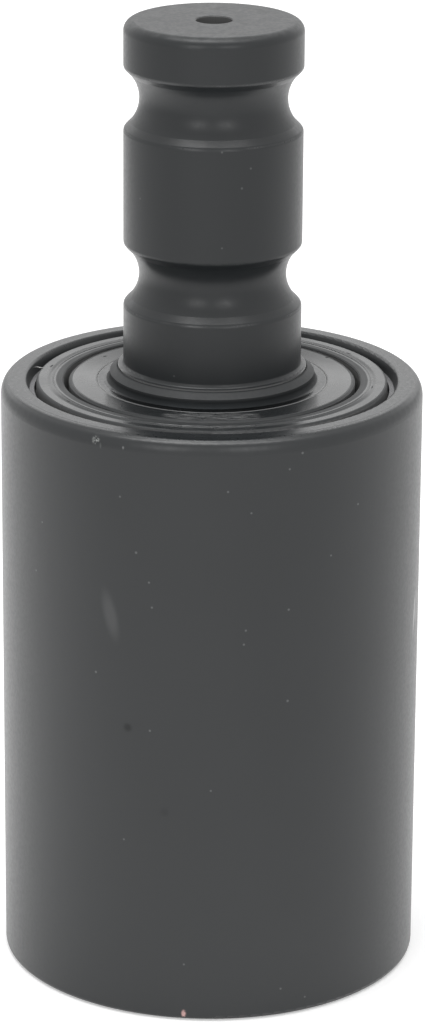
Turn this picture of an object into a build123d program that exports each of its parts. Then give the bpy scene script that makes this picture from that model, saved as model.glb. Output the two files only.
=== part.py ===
"""Carrier roller of a small tracked excavator.

A plain cylindrical shell turns on two ball bearings round a fixed shaft. The shaft sticks out
of one end only, where two clamp bolts lock into the grooves turned round it. A pair of lapped
face seals keeps the oil in at that end, and a cover closes the other.

Millimetres. The shaft's axis is Z, pointing out of the seal end. The origin is the centre of
the shell's lower rim, on which the roller stands.
"""

from build123d import *
from math import cos, radians, sin, sqrt, tan
import os

# Roller shell
shell_length = 144.0
shell_rim_width = 6.8
shoulder_radial = 2.75
shoulder_axial = 3.7
foot_round = 1.2
shell_bore_step = 2.5
bore_mouth_chamfer = 0.6
seal_pocket_flare = 0.9
seal_pocket_round = 0.7

# Fixed shaft, from the outer end inwards
shaft_diameter = 42.0
shaft_projection = 86.0
head_round = 2.4
head_hole_diameter = 8.5
head_hole_depth = 20.0
head_hole_countersink = 0.2
drill_point_angle = 118.0
shaft_shoulder_step = 1.3
shaft_shoulder_length = 5.4
shaft_shoulder_rise = 0.3
shaft_shoulder_round = 1.0
shaft_step_chamfer = 0.8
collar_seat_step = 0.5

# Lock grooves for the clamp bolts
lock_groove_radius = 9.0
lock_groove_depth = 3.7
lock_groove_chamfer = 1.7
lock_groove_round = 1.2
end_to_outer_groove = 18.25
groove_spacing = 42.0

# Collar pressed on the shaft
collar_wall = 3.2
collar_foot_width = 3.05
collar_cove_radius = 1.5
collar_neck_height = 0.6
collar_slope_rise = 1.4
collar_line_chamfer = 0.15

# Fixed seal seat, the flat disc between the collar and the gap
fixed_seat_width = 6.65
fixed_seat_roof = 4.2
fixed_seat_rim_chamfer = 0.45

# Turning seal housing, the wide ring outside the gap
seal_face_recess = 0.4
running_gap = 1.25
housing_land_width = 6.45
housing_flange_width = 1.6
housing_flange_drop = 4.2
housing_line_inset = 2.45
housing_line_depth = 0.15
housing_line_width = 0.5
housing_edge_round = 0.7
housing_throat_chamfer = 0.3
housing_web = 2.2
housing_web_relief = 1.2
race_backing_width = 5.5

# Lapped seal rings and their rubber rings
seal_ring_clearance = 0.8
seal_ring_flange_width = 4.6
seal_ring_flange_thickness = 2.4
seal_ring_nose_width = 2.6
seal_ring_height = 7.2
seal_taper = 12.0
seal_rubber_gap = 3.6
seal_lip_gap = 1.0
seal_roof_gap = 0.8
rubber_clearance = 0.04

# Snap ring over the housing's flange
snap_ring_thickness = 2.0
snap_ring_clearance = 0.5
snap_ring_groove_depth = 1.3
snap_ring_gap = 12.0
ring_groove_clearance = 0.05

# Rubber rings in turned grooves
rubber_groove_drop = 2.1
housing_groove_depth = 2.4
shaft_groove_depth = 2.0
cover_groove_depth = 2.4
rubber_groove_share = 1.3

# Ball bearings, 40 x 80 x 18 at the seal end and 35 x 72 x 17 at the blind end
seal_end_seat_step = 1.0
seal_end_bearing_section = 20.0
seal_end_bearing_width = 18.0
seal_end_ball_diameter = 11.906
blind_end_seat_step = 2.5
blind_end_bearing_section = 18.5
blind_end_bearing_width = 17.0
blind_end_ball_diameter = 11.112
ball_count = 9
race_clearance = 0.05
race_conformity = 0.515
race_shoulder_share = 0.32
race_edge_chamfer = 1.0
cage_wall = 3.4
cage_height_share = 1.26
cage_pocket_clearance = 0.15

# Sleeve between the bearings, and the nut that clamps the stack
spacer_wall = 4.0
lock_washer_wall = 7.5
lock_washer_thickness = 1.25
lock_nut_wall = 8.5
lock_nut_thickness = 9.0
lock_nut_slot_count = 4
lock_nut_slot_width = 5.0
lock_nut_slot_depth = 2.5
lock_key_width = 6.0
lock_key_depth = 3.0
shaft_tip_length = 0.75
shaft_tip_gap = 2.0

# Blind end
cover_step = 2.0
cover_thickness = 6.0
cover_recess = 3.5
cover_edge_chamfer = 0.6
circlip_thickness = 2.5
circlip_band = 5.6
circlip_groove_depth = 1.5
circlip_lug_radius = 3.6
circlip_hole_radius = 1.5
circlip_gap_angle = 16.0
circlip_lug_angle = 6.0
circlip_lug_inset = 1.0
plug_thread_diameter = 12.0
plug_head_rim = 2.5
plug_head_thickness = 2.6
plug_washer_thickness = 1.0
plug_thread_reach = 1.0
plug_socket_across_flats = 6.0
plug_socket_depth = 4.5

# Diameters that follow, from the shaft outwards
shaft_shoulder_diameter = shaft_diameter + 2 * shaft_shoulder_step
collar_seat_diameter = shaft_diameter - 2 * collar_seat_step
collar_diameter = shaft_diameter + 2 * collar_wall
collar_foot_diameter = collar_diameter + 2 * collar_foot_width
fixed_seat_diameter = collar_foot_diameter + 2 * fixed_seat_width
housing_throat_diameter = fixed_seat_diameter + 2 * running_gap
housing_line_diameter = housing_throat_diameter + 2 * housing_line_inset
housing_land_diameter = housing_throat_diameter + 2 * housing_land_width
snap_ring_bore = housing_land_diameter + 2 * snap_ring_clearance
seal_pocket_diameter = housing_land_diameter + 2 * housing_flange_width
shell_diameter = seal_pocket_diameter + 2 * shell_rim_width
seal_ring_bore = collar_diameter + 2 * seal_ring_clearance
seal_ring_flange_diameter = seal_ring_bore + 2 * seal_ring_flange_width
seal_ring_root_diameter = seal_ring_bore + 2 * seal_ring_nose_width
seal_end_bearing_bore = shaft_diameter - 2 * seal_end_seat_step
seal_end_bearing_diameter = seal_end_bearing_bore + 2 * seal_end_bearing_section
blind_end_bearing_bore = seal_end_bearing_bore - 2 * blind_end_seat_step
blind_end_bearing_diameter = blind_end_bearing_bore + 2 * blind_end_bearing_section
housing_relief_diameter = seal_end_bearing_diameter - 2 * race_backing_width
shell_bore_diameter = blind_end_bearing_diameter - 2 * shell_bore_step
cover_diameter = blind_end_bearing_diameter + 2 * cover_step
lock_washer_diameter = blind_end_bearing_bore + 2 * lock_washer_wall
lock_nut_diameter = blind_end_bearing_bore + 2 * lock_nut_wall
plug_head_diameter = plug_thread_diameter + 2 * plug_head_rim

# Heights that follow, from the seal face down and up, then from the lower rim up
seal_face = shell_length - seal_face_recess
seal_roof = seal_ring_height + seal_roof_gap
seal_plane = seal_face - fixed_seat_roof - seal_roof
housing_web_bottom = seal_plane - seal_roof - housing_web
pocket_floor = housing_web_bottom - housing_web_relief
seal_end_bearing_bottom = pocket_floor - seal_end_bearing_width
flange_top = seal_face - housing_flange_drop
snap_groove_top = flange_top + snap_ring_thickness + ring_groove_clearance
rubber_groove_height = seal_plane - rubber_groove_drop
cove_top = seal_face + collar_cove_radius
slope_start = cove_top + collar_neck_height
collar_top = slope_start + collar_slope_rise
shoulder_top = collar_top + shaft_shoulder_rise
shoulder_foot = shoulder_top - shaft_shoulder_length
shaft_top = shell_length + shaft_projection
outer_groove_height = shaft_top - end_to_outer_groove
inner_groove_height = outer_groove_height - groove_spacing
cover_bottom = cover_recess + circlip_thickness
cover_top = cover_bottom + cover_thickness
shaft_bottom = cover_top + shaft_tip_gap
lock_nut_bottom = shaft_bottom + shaft_tip_length
lock_washer_bottom = lock_nut_bottom + lock_nut_thickness
blind_end_bearing_bottom = lock_washer_bottom + lock_washer_thickness
blind_end_bearing_top = blind_end_bearing_bottom + blind_end_bearing_width


def outline(*corners):
    """Closed outline of (radius, height) corners in the plane that holds the axis."""
    with BuildSketch(Plane.XZ) as section:
        with BuildLine():
            Polyline(*corners, close=True)
        make_face()
    return section.sketch


def band(inner_radius, outer_radius, bottom, top):
    """Rectangular section of a plain ring."""
    return outline((inner_radius, bottom), (outer_radius, bottom), (outer_radius, top), (inner_radius, top))


def save(piece, name):
    """Label one finished piece and write it to its own file."""
    piece.part.label = name
    export_step(piece.part, "parts/" + name + ".step")


def rubber_groove(floor_radius, mouth_radius, height):
    """Section of the groove that holds a round rubber ring."""
    half_width = abs(mouth_radius - floor_radius) * rubber_groove_share / 2
    low, high = sorted((floor_radius, mouth_radius))
    return band(low, high, height - half_width, height + half_width)


def rubber_ring(name, floor_radius, wall_radius, height):
    """Round rubber ring that fills the depth of its groove."""
    section = abs(wall_radius - floor_radius) / 2 - rubber_clearance / 2
    with BuildPart() as ring:
        with Locations((0, 0, height)):
            Torus((wall_radius + floor_radius) / 2, section)
    save(ring, name)


def bearing_race(name, face_radius, land_radius, groove_centre, groove_radius, bottom, width):
    """One ring of a ball bearing, with its ball groove on the land side."""
    low, high = sorted((face_radius, land_radius))
    with BuildPart() as race:
        revolve(band(low, high, bottom, bottom + width), axis=Axis.Z)
        corners = race.edges().filter_by(GeomType.CIRCLE)
        chamfer(corners.filter_by(lambda edge: abs(edge.radius - face_radius) < 0.01), race_edge_chamfer)
        with Locations((0, 0, bottom + width / 2)):
            Torus(groove_centre, groove_radius, mode=Mode.SUBTRACT)
    save(race, name)


def ball_bearing(name, bore, diameter, width, ball_diameter, bottom):
    """Two races, the cage and the balls of one deep-groove bearing."""
    pitch_radius = (bore + diameter) / 4
    ball_radius = ball_diameter / 2
    groove_radius = race_conformity * ball_diameter
    groove_offset = groove_radius - ball_radius - race_clearance
    land = race_shoulder_share * ball_diameter
    middle = bottom + width / 2
    first_ball = 180 / ball_count
    bearing_race(
        name + "_inner_race", bore / 2, pitch_radius - land,
        pitch_radius + groove_offset, groove_radius, bottom, width,
    )
    bearing_race(
        name + "_outer_race", diameter / 2, pitch_radius + land,
        pitch_radius - groove_offset, groove_radius, bottom, width,
    )

    cage_height = cage_height_share * ball_diameter
    with BuildPart() as cage:
        revolve(
            band(
                pitch_radius - cage_wall / 2, pitch_radius + cage_wall / 2,
                middle - cage_height / 2, middle + cage_height / 2,
            ),
            axis=Axis.Z,
        )
        with Locations((0, 0, middle)):
            with PolarLocations(pitch_radius, ball_count, start_angle=first_ball):
                Cylinder(
                    ball_radius + cage_pocket_clearance, 2 * cage_wall,
                    rotation=(0, 90, 0), mode=Mode.SUBTRACT,
                )
    save(cage, name + "_cage")

    with BuildPart() as balls:
        with Locations((0, 0, middle)):
            with PolarLocations(pitch_radius, ball_count, start_angle=first_ball):
                Sphere(ball_radius)
    save(balls, name + "_balls")


def make_shell():
    """Shell with its stepped bore, the snap ring groove above and the circlip groove below."""
    radius = shell_diameter / 2
    pocket_radius = seal_pocket_diameter / 2
    mouth_radius = pocket_radius + seal_pocket_flare
    with BuildPart() as shell:
        with BuildSketch(Plane.XZ):
            with BuildLine():
                Line((0, 0), (radius, 0))
                Line((radius, 0), (radius, shell_length - shoulder_axial))
                EllipticalCenterArc(
                    (radius - shoulder_radial, shell_length - shoulder_axial),
                    shoulder_radial, shoulder_axial, start_angle=0, arc_size=90,
                )
                Line((radius - shoulder_radial, shell_length), (0, shell_length))
                Line((0, shell_length), (0, 0))
            make_face()
        revolve(axis=Axis.Z)
        fillet(shell.edges().filter_by(GeomType.CIRCLE).group_by(Axis.Z)[0], foot_round)

        revolve(
            outline(
                (0, pocket_floor), (pocket_radius, pocket_floor), (pocket_radius, snap_groove_top),
                (mouth_radius, shell_length), (0, shell_length),
            ),
            axis=Axis.Z, mode=Mode.SUBTRACT,
        )
        rims = shell.edges().filter_by(GeomType.CIRCLE).group_by(Axis.Z)[-1]
        fillet(rims.sort_by(SortBy.RADIUS)[0], seal_pocket_round)
        revolve(
            band(0, pocket_radius + snap_ring_groove_depth, flange_top, snap_groove_top),
            axis=Axis.Z, mode=Mode.SUBTRACT,
        )
        revolve(
            band(0, seal_end_bearing_diameter / 2, seal_end_bearing_bottom, pocket_floor),
            axis=Axis.Z, mode=Mode.SUBTRACT,
        )
        revolve(
            band(0, shell_bore_diameter / 2, blind_end_bearing_top, seal_end_bearing_bottom),
            axis=Axis.Z, mode=Mode.SUBTRACT,
        )
        revolve(
            band(0, blind_end_bearing_diameter / 2, cover_top, blind_end_bearing_top),
            axis=Axis.Z, mode=Mode.SUBTRACT,
        )
        revolve(band(0, cover_diameter / 2, 0, cover_top), axis=Axis.Z, mode=Mode.SUBTRACT)
        revolve(
            band(
                0, cover_diameter / 2 + circlip_groove_depth,
                cover_recess - ring_groove_clearance, cover_bottom,
            ),
            axis=Axis.Z, mode=Mode.SUBTRACT,
        )
        mouth = shell.edges().filter_by(GeomType.CIRCLE).group_by(Axis.Z)[0].sort_by(SortBy.RADIUS)[0]
        chamfer(mouth, bore_mouth_chamfer)
    save(shell, "roller_shell")


def make_shaft():
    """Shaft with its lock grooves, tapped head hole, clamping shoulder and bearing seats."""
    radius = shaft_diameter / 2
    seat_radius = collar_seat_diameter / 2
    with BuildPart() as shaft:
        revolve(
            outline(
                (0, shaft_bottom),
                (blind_end_bearing_bore / 2 - shaft_step_chamfer, shaft_bottom),
                (blind_end_bearing_bore / 2, shaft_bottom + shaft_step_chamfer),
                (blind_end_bearing_bore / 2, blind_end_bearing_top + shaft_step_chamfer),
                (seal_end_bearing_bore / 2 - shaft_step_chamfer, blind_end_bearing_top + shaft_step_chamfer),
                (seal_end_bearing_bore / 2, blind_end_bearing_top + 2 * shaft_step_chamfer),
                (seal_end_bearing_bore / 2, pocket_floor + shaft_step_chamfer),
                (seat_radius, pocket_floor + shaft_step_chamfer + seat_radius - seal_end_bearing_bore / 2),
                (seat_radius, shoulder_foot),
                (shaft_shoulder_diameter / 2, shoulder_foot),
                (shaft_shoulder_diameter / 2, shoulder_top),
                (radius, shoulder_top),
                (radius, shaft_top),
                (0, shaft_top),
            ),
            axis=Axis.Z,
        )
        rims = shaft.edges().filter_by(GeomType.CIRCLE).group_by(Axis.Z)
        fillet(rims[-1], head_round)
        shoulder = shaft.edges().filter_by(GeomType.CIRCLE)
        shoulder = shoulder.filter_by_position(Axis.Z, shoulder_top - 0.1, shoulder_top + 0.1)
        fillet(shoulder.sort_by(SortBy.RADIUS)[0], shaft_shoulder_round)

        # The arc of a lock groove starts where its bevel has gone in by the chamfer.
        arc_rise = lock_groove_depth - lock_groove_chamfer
        half_chord = sqrt(2 * lock_groove_radius * arc_rise - arc_rise**2)
        edge_radius = radius - lock_groove_chamfer
        mouth_half = half_chord + lock_groove_chamfer
        for height in (outer_groove_height, inner_groove_height):
            with BuildSketch(Plane.XZ) as groove:
                with BuildLine():
                    Line((radius + 1, height - mouth_half), (radius, height - mouth_half))
                    Line((radius, height - mouth_half), (edge_radius, height - half_chord))
                    ThreePointArc(
                        (edge_radius, height - half_chord),
                        (radius - lock_groove_depth, height),
                        (edge_radius, height + half_chord),
                    )
                    Line((edge_radius, height + half_chord), (radius, height + mouth_half))
                    Line((radius, height + mouth_half), (radius + 1, height + mouth_half))
                    Line((radius + 1, height + mouth_half), (radius + 1, height - mouth_half))
                make_face()
            revolve(groove.sketch, axis=Axis.Z, mode=Mode.SUBTRACT)
            circles = shaft.edges().filter_by(GeomType.CIRCLE)
            near = circles.filter_by_position(Axis.Z, height - mouth_half - 0.1, height + mouth_half + 0.1)
            fillet(near.filter_by(lambda edge: abs(edge.radius - radius) < 0.01), lock_groove_round)

        hole_radius = head_hole_diameter / 2
        mouth_radius = hole_radius + head_hole_countersink
        hole_floor = shaft_top - head_hole_depth
        revolve(
            outline(
                (0, hole_floor - hole_radius / tan(radians(drill_point_angle / 2))),
                (hole_radius, hole_floor),
                (hole_radius, shaft_top - head_hole_countersink),
                (mouth_radius, shaft_top),
                (0, shaft_top),
            ),
            axis=Axis.Z, mode=Mode.SUBTRACT,
        )
        revolve(
            rubber_groove(seat_radius - shaft_groove_depth, seat_radius, rubber_groove_height),
            axis=Axis.Z, mode=Mode.SUBTRACT,
        )
        with BuildSketch(Plane.XY.offset(shaft_bottom)):
            with Locations((0, blind_end_bearing_bore / 2)):
                Rectangle(lock_key_width, 2 * lock_key_depth)
        extrude(amount=blind_end_bearing_bottom - shaft_bottom, mode=Mode.SUBTRACT)
    save(shaft, "shaft")


def make_collar():
    """Collar that carries the fixed seat and passes the clamping load to the inner race."""
    radius = collar_diameter / 2
    seat_radius = collar_seat_diameter / 2
    foot_radius = collar_foot_diameter / 2
    seam_radius = shaft_shoulder_diameter / 2
    foot_bottom = seal_plane + seal_roof
    bend = collar_cove_radius * (1 - sin(radians(45)))
    with BuildPart() as collar:
        with BuildSketch(Plane.XZ):
            with BuildLine():
                Polyline(
                    (seat_radius, pocket_floor), (radius, pocket_floor),
                    (radius, foot_bottom), (foot_radius, foot_bottom),
                    (foot_radius, seal_face - collar_line_chamfer),
                    (foot_radius - collar_line_chamfer, seal_face),
                    (radius + collar_cove_radius, seal_face),
                )
                ThreePointArc(
                    (radius + collar_cove_radius, seal_face),
                    (radius + bend, seal_face + bend),
                    (radius, cove_top),
                )
                Polyline(
                    (radius, cove_top), (radius, slope_start),
                    (seam_radius + collar_line_chamfer, collar_top),
                    (seam_radius, collar_top - collar_line_chamfer),
                    (seam_radius, shoulder_foot),
                    (seat_radius, shoulder_foot), (seat_radius, pocket_floor),
                )
            make_face()
        revolve(axis=Axis.Z)
    save(collar, "shaft_collar")


def seal_cavity_radius(rise):
    """Wall of the tapered pocket round a rubber ring, at a distance from the seal plane."""
    root = seal_ring_root_diameter / 2 + seal_rubber_gap
    return root - (rise - seal_ring_flange_thickness) * tan(radians(seal_taper))


def make_fixed_seat():
    """Flat seat pressed on the collar's foot, hollow underneath for the fixed seal ring."""
    rim_radius = fixed_seat_diameter / 2
    with BuildPart() as seat:
        revolve(
            outline(
                (collar_foot_diameter / 2, seal_face),
                (rim_radius - fixed_seat_rim_chamfer, seal_face),
                (rim_radius, seal_face - fixed_seat_rim_chamfer),
                (rim_radius, seal_plane + seal_lip_gap),
                (seal_cavity_radius(seal_lip_gap), seal_plane + seal_lip_gap),
                (seal_cavity_radius(seal_roof), seal_plane + seal_roof),
                (collar_foot_diameter / 2, seal_plane + seal_roof),
            ),
            axis=Axis.Z,
        )
    save(seat, "fixed_seal_seat")


def make_housing():
    """Housing that turns with the shell, with the throat round the fixed seat's rim."""
    outer_radius = seal_pocket_diameter / 2
    land_radius = housing_land_diameter / 2
    throat_radius = housing_throat_diameter / 2
    line_radius = housing_line_diameter / 2
    with BuildPart() as housing:
        revolve(
            outline(
                (housing_relief_diameter / 2, pocket_floor),
                (outer_radius, pocket_floor), (outer_radius, flange_top), (land_radius, flange_top),
                (land_radius, seal_face),
                (line_radius + housing_line_width / 2, seal_face),
                (line_radius, seal_face - housing_line_depth),
                (line_radius - housing_line_width / 2, seal_face),
                (throat_radius + housing_throat_chamfer, seal_face),
                (throat_radius, seal_face - housing_throat_chamfer),
                (throat_radius, seal_plane - seal_lip_gap),
                (seal_cavity_radius(seal_lip_gap), seal_plane - seal_lip_gap),
                (seal_cavity_radius(seal_roof), seal_plane - seal_roof),
                (seal_ring_bore / 2, seal_plane - seal_roof),
                (seal_ring_bore / 2, housing_web_bottom),
                (housing_relief_diameter / 2, housing_web_bottom),
            ),
            axis=Axis.Z,
        )
        rims = housing.edges().filter_by(GeomType.CIRCLE).group_by(Axis.Z)[-1]
        fillet(rims.sort_by(SortBy.RADIUS)[-1], housing_edge_round)
        revolve(
            rubber_groove(outer_radius - housing_groove_depth, outer_radius, rubber_groove_height),
            axis=Axis.Z, mode=Mode.SUBTRACT,
        )
    save(housing, "turning_seal_housing")


def make_face_seal(side, ring_name, rubber_name):
    """Lapped ring and its rubber ring, above the seal plane or mirrored below it."""
    slope = tan(radians(seal_taper))
    root_radius = seal_ring_root_diameter / 2
    tip_radius = root_radius - (seal_ring_height - seal_ring_flange_thickness) * slope

    def at(radius, rise):
        return (radius, seal_plane + side * rise)

    with BuildPart() as ring:
        revolve(
            outline(
                at(seal_ring_bore / 2, 0), at(seal_ring_flange_diameter / 2, 0),
                at(seal_ring_flange_diameter / 2, seal_ring_flange_thickness),
                at(root_radius, seal_ring_flange_thickness), at(tip_radius, seal_ring_height),
                at(seal_ring_bore / 2, seal_ring_height),
            ),
            axis=Axis.Z,
        )
    save(ring, ring_name)

    section = seal_rubber_gap * cos(radians(seal_taper)) / 2 - rubber_clearance
    rise = seal_ring_flange_thickness + section + rubber_clearance
    centre = root_radius + seal_rubber_gap / 2 - (rise - seal_ring_flange_thickness) * slope
    with BuildPart() as rubber:
        with Locations((0, 0, seal_plane + side * rise)):
            Torus(centre, section)
    save(rubber, rubber_name)


def make_snap_ring():
    """Square-section spring ring in the shell's groove, with its gap on the far side."""
    outer_radius = seal_pocket_diameter / 2 + snap_ring_groove_depth - ring_groove_clearance
    with BuildPart() as ring:
        with BuildSketch(Plane.XY.offset(flange_top)):
            Circle(outer_radius)
            Circle(snap_ring_bore / 2, mode=Mode.SUBTRACT)
            with Locations((0, outer_radius)):
                Rectangle(snap_ring_gap, outer_radius, mode=Mode.SUBTRACT)
        extrude(amount=snap_ring_thickness)
    save(ring, "housing_snap_ring")


def make_spacer():
    """Sleeve that holds the inner races apart."""
    with BuildPart() as spacer:
        revolve(
            band(
                seal_end_bearing_bore / 2, seal_end_bearing_bore / 2 + spacer_wall,
                blind_end_bearing_top, seal_end_bearing_bottom,
            ),
            axis=Axis.Z,
        )
        chamfer(spacer.edges().filter_by(GeomType.CIRCLE), shaft_step_chamfer)
    save(spacer, "bearing_spacer")


def make_lock_washer():
    """Washer whose inner tongue sits in the shaft's keyway."""
    shaft_radius = blind_end_bearing_bore / 2
    with BuildPart() as washer:
        with BuildSketch(Plane.XY.offset(lock_washer_bottom)):
            Circle(lock_washer_diameter / 2)
            Circle(shaft_radius, mode=Mode.SUBTRACT)
            tongue_length = lock_key_depth + lock_washer_thickness
            with Locations((0, shaft_radius - lock_key_depth + tongue_length / 2)):
                Rectangle(lock_key_width, tongue_length)
        extrude(amount=lock_washer_thickness)
    save(washer, "lock_washer")


def make_lock_nut():
    """Round nut with slots for a hook spanner."""
    with BuildPart() as nut:
        with BuildSketch(Plane.XY.offset(lock_nut_bottom)):
            Circle(lock_nut_diameter / 2)
            Circle(blind_end_bearing_bore / 2, mode=Mode.SUBTRACT)
            with PolarLocations(lock_nut_diameter / 2, lock_nut_slot_count):
                Rectangle(2 * lock_nut_slot_depth, lock_nut_slot_width, mode=Mode.SUBTRACT)
        extrude(amount=lock_nut_thickness)
    save(nut, "lock_nut")


def make_cover():
    """Disc that closes the blind end, with a rubber ring groove and a tapped filler hole."""
    radius = cover_diameter / 2
    with BuildPart() as cover:
        revolve(
            band(plug_thread_diameter / 2, radius, cover_bottom, cover_top), axis=Axis.Z
        )
        rims = cover.edges().filter_by(GeomType.CIRCLE).group_by(SortBy.RADIUS)[-1]
        chamfer(rims, cover_edge_chamfer)
        revolve(
            rubber_groove(radius - cover_groove_depth, radius, (cover_bottom + cover_top) / 2),
            axis=Axis.Z, mode=Mode.SUBTRACT,
        )
    save(cover, "end_cover")


def make_circlip():
    """Bore circlip under the cover, with a pliers eye at each end of the gap."""
    outer_radius = cover_diameter / 2 + circlip_groove_depth - ring_groove_clearance
    inner_radius = outer_radius - circlip_band
    with BuildPart() as circlip:
        with BuildSketch(Plane.XY.offset(cover_recess)):
            Circle(outer_radius)
            Circle(inner_radius, mode=Mode.SUBTRACT)
            reach = 2 * outer_radius * tan(radians(circlip_gap_angle / 2))
            with BuildLine():
                Polyline((0, 0), (reach, -2 * outer_radius), (-reach, -2 * outer_radius), close=True)
            make_face(mode=Mode.SUBTRACT)
            lug_angle = circlip_gap_angle / 2 + circlip_lug_angle
            first_lug = -90 - lug_angle
            with PolarLocations(inner_radius - circlip_lug_inset, 2, first_lug, 4 * lug_angle):
                Circle(circlip_lug_radius)
                Circle(circlip_hole_radius, mode=Mode.SUBTRACT)
        extrude(amount=circlip_thickness)
    save(circlip, "cover_circlip")


def make_plug():
    """Filler plug with a hexagon socket, and the washer under its head."""
    washer_bottom = cover_bottom - plug_washer_thickness
    head_bottom = washer_bottom - plug_head_thickness
    with BuildPart() as plug:
        with BuildSketch(Plane.XY.offset(head_bottom)):
            Circle(plug_head_diameter / 2)
        extrude(amount=plug_head_thickness)
        with BuildSketch(Plane.XY.offset(washer_bottom)):
            Circle(plug_thread_diameter / 2)
        extrude(amount=cover_top + plug_thread_reach - washer_bottom)
        with BuildSketch(Plane.XY.offset(head_bottom)):
            RegularPolygon(plug_socket_across_flats / 2, 6, major_radius=False)
        extrude(amount=plug_socket_depth, mode=Mode.SUBTRACT)
    save(plug, "filler_plug")

    with BuildPart() as washer:
        revolve(
            band(plug_thread_diameter / 2, plug_head_diameter / 2, washer_bottom, cover_bottom),
            axis=Axis.Z,
        )
    save(washer, "plug_washer")


os.makedirs("parts", exist_ok=True)
make_shell()
make_shaft()
make_collar()
make_fixed_seat()
make_housing()
make_face_seal(1, "fixed_seal_ring", "fixed_seal_rubber")
make_face_seal(-1, "turning_seal_ring", "turning_seal_rubber")
make_snap_ring()
rubber_ring(
    "housing_rubber_ring", seal_pocket_diameter / 2 - housing_groove_depth,
    seal_pocket_diameter / 2, rubber_groove_height,
)
rubber_ring(
    "shaft_rubber_ring", collar_seat_diameter / 2 - shaft_groove_depth,
    collar_seat_diameter / 2, rubber_groove_height,
)
rubber_ring(
    "cover_rubber_ring", cover_diameter / 2 - cover_groove_depth,
    cover_diameter / 2, (cover_bottom + cover_top) / 2,
)
ball_bearing(
    "seal_end", seal_end_bearing_bore, seal_end_bearing_diameter, seal_end_bearing_width,
    seal_end_ball_diameter, seal_end_bearing_bottom,
)
ball_bearing(
    "blind_end", blind_end_bearing_bore, blind_end_bearing_diameter, blind_end_bearing_width,
    blind_end_ball_diameter, blind_end_bearing_bottom,
)
make_spacer()
make_lock_washer()
make_lock_nut()
make_cover()
make_circlip()
make_plug()
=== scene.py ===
"""Looks of the carrier roller: satin paint, turned seal face, steel inside, studio and camera.

Metres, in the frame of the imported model. The shaft's axis is Z. An angle round the roller is
given in degrees from the side that faces the camera, positive towards +X.
"""

import math

import bmesh
import bpy
from mathutils import Matrix, Vector


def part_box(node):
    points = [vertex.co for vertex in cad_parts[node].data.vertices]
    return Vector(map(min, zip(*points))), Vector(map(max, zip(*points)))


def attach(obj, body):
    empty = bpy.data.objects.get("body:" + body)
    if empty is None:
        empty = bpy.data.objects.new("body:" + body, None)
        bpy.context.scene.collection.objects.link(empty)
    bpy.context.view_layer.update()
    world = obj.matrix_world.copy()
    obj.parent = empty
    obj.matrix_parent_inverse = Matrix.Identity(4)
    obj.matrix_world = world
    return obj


bl_info = {
    "name": "Carrier roller finish",
    "version": (1, 0, 0),
    "blender": (4, 5, 0),
    "location": "View3D > Sidebar > Roller",
    "description": "Paints and lights a carrier roller for a small excavator",
    "category": "Object",
}

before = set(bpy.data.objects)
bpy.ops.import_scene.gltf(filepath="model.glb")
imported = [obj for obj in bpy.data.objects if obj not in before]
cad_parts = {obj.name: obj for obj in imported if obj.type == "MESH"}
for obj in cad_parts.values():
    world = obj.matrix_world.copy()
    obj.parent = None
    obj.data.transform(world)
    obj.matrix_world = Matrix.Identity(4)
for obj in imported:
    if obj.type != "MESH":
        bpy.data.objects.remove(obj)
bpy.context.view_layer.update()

MM = 0.001
_, SHELL_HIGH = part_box("roller_shell")
_, SHAFT_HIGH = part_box("shaft")
_, SEAT_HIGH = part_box("fixed_seal_seat")
_, COLLAR_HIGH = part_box("shaft_collar")

SHELL_RADIUS = SHELL_HIGH.x
SHELL_TOP = SHELL_HIGH.z
SHAFT_RADIUS = 21.0 * MM
SHAFT_TOP = SHAFT_HIGH.z
SEAL_FACE = SEAT_HIGH.z
COLLAR_FOOT_RADIUS = 27.3 * MM
COLLAR_TOP = COLLAR_HIGH.z
COLLAR_TOP_RADIUS = 22.3 * MM
GROOVE_HEIGHTS = (SHAFT_TOP - 18.25 * MM, SHAFT_TOP - 60.25 * MM)
GROOVE_HALF_WIDTH = 7.36 * MM

# Radii in millimetres for the fades of the materials.
HOLE_RADIUS = 4.2
THROAT_RADIUS = 36.0
FLANGE_RADIUS = 41.0

# Pale grey for dust and smears, and for the painted glints on the seal face.
PALE_DUST_AND_GLINT = (0.5, 0.5, 0.5)


class PaintSettings(bpy.types.PropertyGroup):
    """The satin paint that covers the roller."""

    colour: bpy.props.FloatVectorProperty(
        name="Paint colour", description="Dark charcoal of the paint", subtype="COLOR",
        size=3, min=0.0, max=1.0, default=(0.0132, 0.0150, 0.0162),
    )
    sheen_roughness: bpy.props.FloatProperty(
        name="Roughness", description="Roughness of the dry paint film", subtype="FACTOR",
        min=0.0, max=1.0, default=0.34,
    )
    grain: bpy.props.FloatProperty(
        name="Grain size", description="Width of the finest ripples in the film", unit="LENGTH",
        min=0.0, default=0.45 * MM,
    )
    ripple: bpy.props.FloatProperty(
        name="Ripple size", description="Width of the broad ripples in the film", unit="LENGTH",
        min=0.0, default=5.0 * MM,
    )
    cloud: bpy.props.FloatProperty(
        name="Cloud size", description="Width of the faint cloudy patches of colour",
        unit="LENGTH", min=0.0, default=22.0 * MM,
    )


class SealFaceSettings(bpy.types.PropertyGroup):
    """The turned rings of the face seal."""

    tool_mark: bpy.props.FloatProperty(
        name="Tool mark pitch", description="Distance between the marks of the turning tool",
        unit="LENGTH", min=0.0, default=0.22 * MM,
    )


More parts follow.
